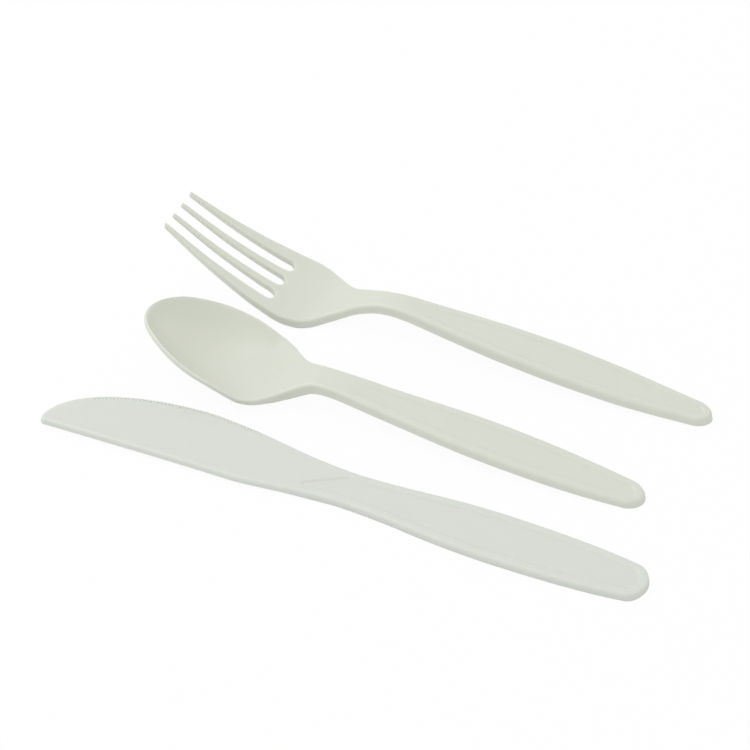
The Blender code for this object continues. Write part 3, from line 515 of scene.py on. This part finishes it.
def make_spoon():
    """Spoon with a sunk panel in its handle."""
    neck, bowl, length = SPOON_NECK_AT, SPOON_BOWL_AT, SPOON_LENGTH
    half_width = smooth_curve(with_bends(
        [(0.0, 0.0041), (SPOON_GRIP_AT, 0.00707), (neck, 0.0044), (bowl, 0.0152), (length, 0.0129)],
        [[(0.20, 0.37), (0.40, 0.65), (0.70, 0.92)],
         [(0.16, 0.05), (0.36, 0.25), (0.56, 0.51), (0.78, 0.78)],
         [(0.10, 0.01), (0.20, 0.075), (0.33, 0.25), (0.47, 0.55), (0.60, 0.81), (0.75, 0.95)],
         [(0.20, 0.14), (0.50, 0.52), (0.75, 0.82)]]))
    heel = neck + 0.60 * (bowl - neck)
    skirt = neck + 0.007
    brim = smooth_curve(with_bends(
        [(0.0, 0.0022), (neck, SPOON_NECK_HEIGHT), (heel, 0.0038), (bowl, 0.0073),
         (length, SPOON_TIP_HEIGHT)],
        [[(0.20, 0.18), (0.50, 0.50), (0.80, 0.80)],
         [(0.16, 0.02), (0.33, 0.21), (0.56, 0.60), (0.78, 0.89)],
         [(0.33, 0.13), (0.58, 0.45)], [(0.22, 0.27), (0.52, 0.63), (0.78, 0.91)]]))
    inner = smooth_curve(with_bends(
        [(neck, SPOON_NECK_HEIGHT), (bowl, 0.0013),
         (length - SPOON_BRIM_WIDTH, SPOON_TIP_HEIGHT)],
        [[(0.20, 0.10), (0.40, 0.52), (0.62, 0.86), (0.80, 0.965)],
         [(0.22, 0.045), (0.48, 0.22), (0.74, 0.52), (0.90, 0.77)]]))
    wall = smooth_curve([(0.0, 0.0022), (SPOON_GRIP_AT, 0.0026), (neck, 0.0032),
                         (skirt, 0.0039), (heel, 0.0015), (bowl, 0.0010), (length, 0.0010)])
    middle = smooth_curve([(0.0, 0.0022), (SPOON_GRIP_AT, 0.0026), (neck, 0.0032),
                           (heel, 0.0013), (bowl, 0.0013), (length, 0.0010)])
    outline = counter_clockwise(mirrored(rounded_side(
        half_width, 0.0, SPOON_END_ROUND, length, SPOON_TIP_ROUND,
        fine_from=neck - 0.010, end_steps=70)))
    panel_end = neck - 0.005
    edge = panel_edge(half_width, SPOON_END_ROUND, SPOON_RIM_WIDTH, panel_end)

    def hollow(points, rim, depth):
        x = points[:, 0]
        close = np.clip((length - rim - x) / SPOON_TIP_ROUND, 0, 1)
        across = np.maximum(half_width(x) - rim, 1e-6) * np.sqrt(close * (2 - close)) + 1e-9
        share = np.clip(np.abs(points[:, 1]) / across, 0, 1)
        return depth(x) * (1 - share ** HOLLOW_POWER)

    def depth_along(x):
        return np.maximum(brim(x) - inner(x), 0.0)

    def upper(points):
        dish = hollow(points, SPOON_BRIM_WIDTH, depth_along)
        return brim(points[:, 0]) - dish - panel_drop(points, edge, PANEL_DEPTH, panel_end)

    def under(points):
        x = points[:, 0]
        dish = hollow(points, 0.0, lambda s: depth_along(s) + middle(s) - wall(s))
        return brim(x) - wall(x) - dish + panel_drop(points, edge, CHANNEL_DEPTH, panel_end)

    to_bowl = soft_ramp(outline[:, 0], neck - 0.004, bowl)
    on_grip = 1 - soft_ramp(outline[:, 0], neck - GRIP_FADE_FROM, neck - GRIP_FADE_TO)
    run = part_way(to_bowl, SPOON_EDGE_RUN, BRIM_EDGE_RUN)
    drop = part_way(to_bowl, SPOON_EDGE_DROP, BRIM_EDGE_DROP) + GRIP_EXTRA_DROP * on_grip
    foot = np.minimum(run, FOOT_ROUND)
    rings = edge_rings(outline, run, drop, foot, FOOT_RISE, upper, under)
    return moulding("moulded_spoon", rings, upper, under, slope_creases(edge), spacing=0.0007)


moulded_spoon = make_spoon()

# %% [markdown]
# ## The knife
#
# The cutting side swells to a belly and sweeps round to a small nose on the spine's side. Both
# sides share the handle's widths, so that the grip stays even about its middle line.

# %% Knife outline
KNIFE_GRIP_AT, KNIFE_NECK_AT, KNIFE_BELLY_AT, KNIFE_LENGTH = 0.042, 0.0835, 0.127, 0.1718
KNIFE_END_ROUND = 0.0042
KNIFE_BELLY_OUT = 0.0105
KNIFE_SPINE_AT_BELLY, KNIFE_SPINE_AT_TIP = 0.0095, 0.0111
KNIFE_NOSE_ROUND = 0.0016
SWEEP_STEPS = 120
SWEEP_POWER = 0.9  # a little fuller than a quarter of an ellipse
NOSE_CLEARANCE = 0.0006
NOSE_POINTS = 12

handle_bends = [[(0.20, 0.43), (0.40, 0.71), (0.70, 0.93)],
                [(0.20, 0.09), (0.45, 0.38), (0.70, 0.78)]]
handle_marks = [(0.0, 0.0054), (KNIFE_GRIP_AT, 0.00845), (KNIFE_NECK_AT, 0.0060)]
cutting_side = smooth_curve(with_bends(
    handle_marks + [(KNIFE_BELLY_AT, KNIFE_BELLY_OUT)],
    handle_bends + [[(0.26, 0.14), (0.50, 0.44), (0.75, 0.79)]]))
spine_side = smooth_curve(with_bends(
    handle_marks + [(KNIFE_BELLY_AT, KNIFE_SPINE_AT_BELLY), (KNIFE_LENGTH, KNIFE_SPINE_AT_TIP)],
    handle_bends + [[(0.26, 0.26), (0.50, 0.66), (0.68, 0.92)], [(0.50, 0.45)]]))


def knife_outline():
    """The knife seen from above, before its teeth are cut."""
    nose = KNIFE_NOSE_ROUND
    sweep = KNIFE_BELLY_OUT + KNIFE_SPINE_AT_TIP
    end = rounded_end(KNIFE_END_ROUND)
    cutting = [(x, s * float(cutting_side(x))) for x, s in end]
    cutting += [(x, float(cutting_side(x)))
                for x in stations(KNIFE_END_ROUND, KNIFE_NECK_AT, KNIFE_BELLY_AT)]
    turn = [math.pi / 2 * k / SWEEP_STEPS for k in range(SWEEP_STEPS + 1)]
    arc = [(KNIFE_BELLY_AT + (KNIFE_LENGTH - KNIFE_BELLY_AT) * math.sin(a),
            KNIFE_BELLY_OUT - sweep + sweep * math.cos(a) ** SWEEP_POWER) for a in turn]
    cutting += [p for p in arc if p[1] > -KNIFE_SPINE_AT_TIP + nose + NOSE_CLEARANCE]
    corner = [(KNIFE_LENGTH - nose * (1 - math.cos(a)),
               -KNIFE_SPINE_AT_TIP + nose * (1 - math.sin(a)))
              for a in np.linspace(0, math.pi / 2, NOSE_POINTS)]
    spine = [(x, -s * float(spine_side(x))) for x, s in end[1:]]
    spine += [(x, -float(spine_side(x)))
              for x in stations(KNIFE_END_ROUND, KNIFE_NECK_AT, KNIFE_LENGTH - nose)]
    return np.array(cutting + corner + spine[::-1])


plain_outline = knife_outline()
print("the knife's outline has", len(plain_outline), "points before its teeth")

# %% [markdown]
# The teeth are moulded, 1.05 mm apart, as rounded notches. Each one takes eight points along the
# edge, and its depth there is a raised cosine to a power that narrows the notch and leaves a broad
# tooth. The depths are kept beside the outline, because the wall has to know how far each point
# is cut back.

# %% Teeth
TOOTH_PITCH = 0.00105
TOOTH_DEPTH = 0.00038
TOOTH_POINTS = 8
NOTCH_POWER = 1.5
TEETH_FROM = KNIFE_NECK_AT + 0.0295
TEETH_TO = KNIFE_LENGTH - 0.0095


def with_teeth(outline, start, end):
    """Close points along the toothed stretch, and a rounded notch between teeth."""
    x, y = outline.T
    tip = int(np.argmax(x))
    lengths = np.hypot(np.diff(x[:tip + 1]), np.diff(y[:tip + 1]))
    along = np.concatenate([[0.0], np.cumsum(lengths)])
    first = float(np.interp(start, x[:tip + 1], along))
    last = float(np.interp(end, x[:tip + 1], along))
    teeth = int((last - first) / TOOTH_PITCH)
    places = np.linspace(first, last, TOOTH_POINTS * teeth + 1)
    before = along < first - FINE / 2
    after = along > last + FINE / 2
    kept = np.concatenate([along[before], places, along[after]])
    side = np.column_stack([np.interp(kept, along, x[:tip + 1]),
                            np.interp(kept, along, y[:tip + 1])])
    notch = np.zeros(len(side))
    phase = 2 * math.pi * np.arange(len(places)) / TOOTH_POINTS
    notch[before.sum():before.sum() + len(places)] = (0.5 - 0.5 * np.cos(phase)) ** NOTCH_POWER
    rest = outline[tip + 1:]
    print(teeth, "teeth")
    return np.vstack([side, rest]), np.concatenate([notch, np.zeros(len(rest))])


toothed, notched = with_teeth(plain_outline, TEETH_FROM, TEETH_TO)

# %% [markdown]
# The panel of the handle ends on a slant, which is where the blade begins. Its two corners there
# are rounded by true arcs, and its long sides follow the handle's.

# %% Knife panel
PANEL_FAR_END, PANEL_NEAR_END = 0.0855, 0.1005
PANEL_CORNER = 0.0012
CORNER_ARM = 0.004  # how far back along a side its direction is taken
PANEL_END_EXTRA = 0.0004  # the panel's end is this much longer than the handle's less the rim


def fillet(before, corner, after, radius, steps=14):
    """Arc that rounds the corner between two straight runs."""
    corner = np.array(corner)
    one = (np.array(before) - corner) / np.linalg.norm(np.array(before) - corner)
    two = (np.array(after) - corner) / np.linalg.norm(np.array(after) - corner)
    half = math.acos(float(np.dot(one, two))) / 2
    middle = corner + (one + two) / np.linalg.norm(one + two) * radius / math.sin(half)
    arm = corner + one * radius / math.tan(half) - middle
    side = math.copysign(1.0, one[0] * two[1] - one[1] * two[0])
    turns = [-side * (math.pi - 2 * half) * k / steps for k in range(steps + 1)]
    return [(middle[0] + arm[0] * math.cos(t) - arm[1] * math.sin(t),
             middle[1] + arm[0] * math.sin(t) + arm[1] * math.cos(t)) for t in turns]


def knife_panel():
    """Edge of the knife's panel, cut off on the slant where the blade begins."""
    def far_side(x):
        return float(cutting_side(x)) - RIM_WIDTH

    def near_side(x):
        return RIM_WIDTH - float(spine_side(x))

    reach = KNIFE_END_ROUND - RIM_WIDTH + PANEL_END_EXTRA
    end = [(RIM_WIDTH + x, s) for x, s in rounded_end(reach)]
    far_corner = (PANEL_FAR_END, far_side(PANEL_FAR_END))
    near_corner = (PANEL_NEAR_END, near_side(PANEL_NEAR_END))
    far_back, near_back = PANEL_FAR_END - CORNER_ARM, PANEL_NEAR_END - CORNER_ARM
    turned = fillet((far_back, far_side(far_back)), far_corner, near_corner, PANEL_CORNER)
    turned += fillet(far_corner, near_corner, (near_back, near_side(near_back)), PANEL_CORNER)
    far = [(x, s * far_side(x)) for x, s in end]
    far += [(x, far_side(x)) for x in spaced(RIM_WIDTH + reach, turned[0][0] - FINE, COARSE)]
    near = [(x, s * near_side(x)) for x, s in end[1:]]
    near += [(x, near_side(x)) for x in spaced(RIM_WIDTH + reach, turned[-1][0] - FINE, COARSE)]
    return counter_clockwise(np.array(far + turned + near[::-1]))


panel_line = knife_panel()
print("the knife's panel covers", round(twice_area(panel_line) / 2 * MILLI ** 2), "mm2")

# %% [markdown]
# The blade is a thin web that runs out to the saw edge, with a rib along the spine to keep it
# straight. Its section goes from the handle's to the web between the panel's slanted end and the
# first tooth. Each tooth leaves a small groove in the upper face, which four more rings inside
# the cutting edge carry.

# %% Knife
KNIFE_THICKNESS = 0.0025
WEB_SUNK = 0.0002  # the web's upper face below the rib's
RIB_LIFT, WEB_LIFT = 0.0008, 0.0011  # their under faces above the handle's
RIB_TO, WEB_FROM = 0.0013, 0.0026  # from the spine
SPINE_STRIP = 0.0022  # nearer the spine than this the wall stays upright
KNIFE_EDGE_RUN, SAW_EDGE_RUN = 0.0010, 0.0002
KNIFE_EDGE_DROP, SAW_EDGE_DROP = 0.0009, 0.0002
KNIFE_FOOT, SAW_FOOT = 0.0004, 0.0010  # the foot stands in by this
KNIFE_LIFT = 0.0007  # from the foot up to the parting line
LEAST_CREST = 0.00012  # the crest stays this far inside a notch
GROOVE_DEPTH = 0.00030
GROOVE_RINGS = 4
GROOVE_STEP = 0.00024
LEAST_STEP = 0.05  # share of a step where there are no teeth
NOSE_REACH = 0.005


def make_knife(toothed, notched, edge):
    """Knife with a ribbed spine and a saw edge."""
    order = 1 if twice_area(toothed) > 0 else -1
    outline, cut = toothed[::order], TOOTH_DEPTH * notched[::order]
    groove = GROOVE_DEPTH * notched[::order]

    def blade(x):
        return soft_ramp(x, PANEL_FAR_END, TEETH_FROM)

    def from_spine(points):
        return points[:, 1] + spine_side(points[:, 0])

    def rib(points):
        return 1 - soft_ramp(from_spine(points), RIB_TO, WEB_FROM)

    def sunk(points, depth):
        return depth * soft_ramp(depth_inside(points, edge), 0.0, RIM_SLOPE)

    def upper(points):
        beside_rib = WEB_SUNK * blade(points[:, 0]) * (1 - rib(points))
        return KNIFE_THICKNESS - beside_rib - sunk(points, PANEL_DEPTH)

    def under(points):
        lifted = part_way(rib(points), WEB_LIFT, RIB_LIFT)
        return blade(points[:, 0]) * lifted + sunk(points, CHANNEL_DEPTH)

    x = outline[:, 0]
    sharp = soft_ramp(x, KNIFE_NECK_AT, TEETH_FROM) * (from_spine(outline) > SPINE_STRIP)
    drop = part_way(sharp, KNIFE_EDGE_DROP, SAW_EDGE_DROP)
    along_spine = blade(x) * (1 - sharp)
    foot = part_way(along_spine, part_way(sharp, KNIFE_FOOT, SAW_FOOT), FOOT_ROUND)
    lift = part_way(along_spine, KNIFE_LIFT, FOOT_RISE)
    crest = np.maximum(part_way(sharp, KNIFE_EDGE_RUN, SAW_EDGE_RUN), cut + LEAST_CREST)
    rings = edge_rings(outline, crest, drop, foot, lift, upper, under, cut)
    into = inward(outline)
    rings[-1][:, 2] -= groove
    beside_teeth = sharp * (x < KNIFE_LENGTH - NOSE_REACH)
    step = GROOVE_STEP * part_way(beside_teeth, LEAST_STEP, 1.0)
    for k in range(1, GROOVE_RINGS + 1):
        inside = outline + into * (crest + k * step)[:, None]
        share = 1 - k / (GROOVE_RINGS + 1)
        rings.append(np.column_stack([inside, upper(inside) - groove * share]))
    return moulding("moulded_knife", rings, upper, under, slope_creases(edge), spacing=0.0009)


moulded_knife = make_knife(toothed, notched, panel_line)

# %% [markdown]
# ## Places
#
# The three lie side by side, as a set is laid out. Each outline was drawn with the end of its
# handle at zero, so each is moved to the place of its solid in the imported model.

# %% Put each piece where its solid is
FORK_END_BACK, SPOON_END_BACK = 0.0046, 0.0111  # handle ends short of the knife's
FORK_TO_SPOON, FORK_TO_KNIFE = 0.03665, 0.06585  # between the handles' middle lines
SPOON_TURN = math.radians(0.75)
knife_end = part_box("knife")[1].x
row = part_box("fork")[1].y - FORK_HEAD_HALF
moulded_fork.location = (knife_end - FORK_END_BACK, row, 0.0)
moulded_spoon.location = (knife_end - SPOON_END_BACK, row - FORK_TO_SPOON, 0.0)
moulded_spoon.rotation_euler = (0.0, 0.0, -SPOON_TURN)
moulded_knife.location = (knife_end, row - FORK_TO_KNIFE, 0.0)
bpy.context.view_layer.update()
for piece in (moulded_fork, moulded_spoon, moulded_knife):
    print(piece.name, "ends at", round(piece.location.x * MILLI, 1), "mm")

# %% [markdown]
# ## Colours and nodes
#
# Colours are picked as sRGB hex values, as on a screen, but the renderer adds up light, so they
# are turned to linear values first. One function adds a node with its settings and its links.

# %% Colour and node helpers
def linear(hex_colour):
    """An sRGB hex colour as linear red, green, blue and alpha."""
    values = [int(hex_colour[i:i + 2], 16) / 255 for i in (1, 3, 5)]
    return (*[v / 12.92 if v <= 0.04045 else ((v + 0.055) / 1.055) ** 2.4 for v in values], 1.0)


def add_node(owner, kind, settings=None, inputs=None, links=None):
    """Adds a node to a material or world, with its options, input values and links."""
    node = owner.node_tree.nodes.new(kind)
    for key, value in (settings or {}).items():
        setattr(node, key, value)
    for key, value in (inputs or {}).items():
        node.inputs[key].default_value = value
    for key, source in (links or {}).items():
        owner.node_tree.links.new(source, node.inputs[key])
    return node


print("mid grey is", round(linear("#808080")[0], 3), "of white in light")

# %% [markdown]
# ## The plastic
#
# The real one is starch-filled polypropylene, injection moulded in a mould with a matt finish. It
# is off-white with a green-yellow cast, a little cloudy where the melt flowed, and dull in its
# shine: IOR 1.49, and a roughness of 0.36, matched to the soft shine of the crests. Walls of 1 to
# 3 mm let some light in, and it scatters before it comes out, which keeps thin edges pale.
# Specks of starch, 0.2 to 0.5 mm across with a soft edge and rare, show as darker dots. The
# mould's spark-eroded grain is about 0.15 mm, too fine to show, so it is drawn at 0.4 mm.

# %% Moulded starch plastic
CLOUD_MM = 8.333  # from one cloud to the next
SPECK_APART_MM = 11.111  # one possible speck in a cell of this size
SPECK_CORE_MM, SPECK_EDGE_MM = 0.1111, 0.2444  # radii
SPECK_LEFT_OUT = 0.90  # share of the possible specks that aren't there
GRAIN_MM, GRAIN_HEIGHT_MM = 0.4, 0.1
SCATTER_MM = 1.2


def starch_plastic(name, body, cloud, speck):
    """Matt starch-filled plastic: flow clouds, rare specks and a fine mould grain."""
    material = bpy.data.materials.new(name)
    material.use_nodes = True
    shader = material.node_tree.nodes["Principled BSDF"]
    shader.inputs["IOR"].default_value = 1.49
    shader.inputs["Roughness"].default_value = 0.36
    shader.inputs["Subsurface Weight"].default_value = 0.35
    shader.inputs["Subsurface Radius"].default_value = (1.0, 1.0, 1.0)
    shader.inputs["Subsurface Scale"].default_value = SCATTER_MM / MILLI
    place = add_node(material, "ShaderNodeTexCoord").outputs["Object"]
    flow = add_node(material, "ShaderNodeTexNoise", {},
                    {"Scale": MILLI / CLOUD_MM, "Detail": 3.0, "Roughness": 0.6},
                    {"Vector": place})
    mix = add_node(material, "ShaderNodeMix", {"data_type": "RGBA"}, {},
                   {"Factor": flow.outputs["Fac"]})
    mix.inputs["A"].default_value = linear(body)
    mix.inputs["B"].default_value = linear(cloud)
    cells = add_node(material, "ShaderNodeTexVoronoi", {"feature": "F1"},
                     {"Scale": MILLI / SPECK_APART_MM, "Randomness": 1.0}, {"Vector": place})
    dot = add_node(material, "ShaderNodeMapRange", {"interpolation_type": "SMOOTHSTEP"},
                   {"From Min": SPECK_CORE_MM / SPECK_APART_MM,
                    "From Max": SPECK_EDGE_MM / SPECK_APART_MM, "To Min": 1.0, "To Max": 0.0},
                   {"Value": cells.outputs["Distance"]})
    chosen = add_node(material, "ShaderNodeSeparateColor", {}, {},
                      {"Color": cells.outputs["Color"]})
    rare = add_node(material, "ShaderNodeMath", {"operation": "GREATER_THAN"}, {1: SPECK_LEFT_OUT},
                    {0: chosen.outputs["Red"]})
    both = add_node(material, "ShaderNodeMath", {"operation": "MULTIPLY"}, {},
                    {0: dot.outputs["Result"], 1: rare.outputs["Value"]})
    tint = add_node(material, "ShaderNodeMix", {"data_type": "RGBA"}, {},
                    {"Factor": both.outputs["Value"], "A": mix.outputs["Result"]})
    tint.inputs["B"].default_value = linear(speck)
    material.node_tree.links.new(tint.outputs["Result"], shader.inputs["Base Color"])
    grain = add_node(material, "ShaderNodeTexNoise", {}, {"Scale": MILLI / GRAIN_MM, "Detail": 2.0},
                     {"Vector": place})
    bump = add_node(material, "ShaderNodeBump", {},
                    {"Strength": 0.06, "Distance": GRAIN_HEIGHT_MM / MILLI},
                    {"Height": grain.outputs["Fac"]})
    material.node_tree.links.new(bump.outputs["Normal"], shader.inputs["Normal"])
    print(name, "made with", len(material.node_tree.nodes), "nodes")
    return material


# %% [markdown]
# The fork and the spoon are one shade, and the knife is a shade cooler, as if from another batch.
# The two hex values of a piece are the two ends of its flow clouds. Each piece takes the place of
# its solid, and all ride on the same body.

# %% Finish each piece
for piece, node, body, cloud in (
        (moulded_fork, "fork", "#DBDED2", "#DDE0D4"),
        (moulded_spoon, "spoon", "#DBDED2", "#DDE0D4"),
        (moulded_knife, "knife", "#DADED6", "#DCE0D8")):
    finish = starch_plastic("starch_plastic_" + node, body, cloud, "#A9A898")
    piece.data.materials.append(finish)
    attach(piece, "root")
    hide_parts(node)
    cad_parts[node].data.materials.clear()
    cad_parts[node].data.materials.append(finish)

# %% [markdown]
# ## Table, light and camera
#
# The picture was taken on pure white. The table is a white diffuse sheet that the camera sees
# mostly as plain white, so it is as bright as the paper, and the pieces keep a faint grey shadow.

# %% Table
TABLE_REACH = 3.0
TABLE_BELOW = 0.0001
SHARE_PLAIN_WHITE = 0.95


def white_table():
    """Large white sheet under the cutlery."""
    mesh = bpy.data.meshes.new("table")
    reach = TABLE_REACH
    corners = [(-reach, -reach, 0), (reach, -reach, 0), (reach, reach, 0), (-reach, reach, 0)]
    mesh.from_pydata(corners, [], [(0, 1, 2, 3)])
    sheet = bpy.data.objects.new("table", mesh)
    sheet.location.z = -TABLE_BELOW
    bpy.context.collection.objects.link(sheet)
    material = bpy.data.materials.new("white_paper")
    material.use_nodes = True
    nodes = material.node_tree.nodes
    paper = nodes["Principled BSDF"]
    paper.inputs["Base Color"].default_value = linear("#F4F4F4")
    paper.inputs["Roughness"].default_value = 1.0
    paper.inputs["Specular IOR Level"].default_value = 0.0
    glow = add_node(material, "ShaderNodeEmission", {}, {"Strength": 1.0})
    seen = add_node(material, "ShaderNodeLightPath")
    share = add_node(material, "ShaderNodeMath", {"operation": "MULTIPLY"},
                     {1: SHARE_PLAIN_WHITE}, {0: seen.outputs["Is Camera Ray"]})
    mixed = add_node(material, "ShaderNodeMixShader", {}, {},
                     {0: share.outputs["Value"], 1: paper.outputs["BSDF"],
                      2: glow.outputs["Emission"]})
    surface = nodes["Material Output"].inputs["Surface"]
    material.node_tree.links.new(mixed.outputs["Shader"], surface)
    mesh.materials.append(material)
    print("the table is", 2 * reach, "m wide")


white_table()

# %% [markdown]
# The light is soft and nearly even, as in a light tent: an even world, and one soft box from the
# left that makes the crests a little brighter than the panels. Together they light a flat surface
# at about one, so a colour renders as it is written. Only the camera sees the world as white.

# %% Even light from all round
WHITE = (1.0, 1.0, 1.0, 1.0)
WORLD_STRENGTH = 0.775
scene = bpy.context.scene
scene.view_settings.view_transform = "Standard"
world = bpy.data.worlds.new("studio")
scene.world = world
world.use_nodes = True
world_nodes = world.node_tree.nodes
around = world_nodes["Background"]
around.inputs["Color"].default_value = WHITE
around.inputs["Strength"].default_value = WORLD_STRENGTH
behind = add_node(world, "ShaderNodeBackground", {}, {"Color": WHITE, "Strength": 1.0})
path = add_node(world, "ShaderNodeLightPath")
choose = add_node(world, "ShaderNodeMixShader", {}, {},
                  {0: path.outputs["Is Camera Ray"], 1: around.outputs[0], 2: behind.outputs[0]})
world.node_tree.links.new(choose.outputs[0], world_nodes["World Output"].inputs["Surface"])
print("the world lights the pieces at", WORLD_STRENGTH)

# %% [markdown]
# The soft box and the camera are both placed by two angles and a distance, so one function does
# it. The azimuth is counted from the near side, and the elevation from the table.

# %% Soft box
def aim_at(thing, middle, azimuth, elevation, distance):
    """Puts a lamp or a camera at a distance from a point, facing it; angles in degrees."""
    a, e = math.radians(azimuth), math.radians(elevation)
    way = Vector((math.sin(a) * math.cos(e), -math.cos(a) * math.cos(e), math.sin(e)))
    thing.location = middle + way * distance
    thing.rotation_euler = way.to_track_quat("Z", "Y").to_euler()
    bpy.context.collection.objects.link(thing)
    print(thing.name, "at", [round(v, 3) for v in thing.location])


def soft_box(name, azimuth, elevation, distance, size, watts):
    """Square soft light aimed at the middle of the table."""
    lamp = bpy.data.lights.new(name, "AREA")
    lamp.shape = "SQUARE"
    lamp.size = size
    lamp.energy = watts
    aim_at(bpy.data.objects.new(name, lamp), Vector((0, 0, 0)), azimuth, elevation, distance)


soft_box("key", azimuth=276.0, elevation=56.0, distance=1.6, size=0.8, watts=7.0)

# %% [markdown]
# A long lens from 0.65 m shows the pieces with little perspective. It looks down at 43 degrees
# from the right-hand side, so the handles run down to the right.

# %% Camera
AIM = Vector((-0.0104, 0.010775, 0.0))
SENSOR_WIDTH_MM, FOCAL_LENGTH_MM = 36.0, 112.32
lens = bpy.data.cameras.new("camera")
lens.sensor_width = SENSOR_WIDTH_MM
lens.lens = FOCAL_LENGTH_MM
camera = bpy.data.objects.new("camera", lens)
aim_at(camera, AIM, azimuth=24.25, elevation=43.0, distance=0.654)
scene.camera = camera
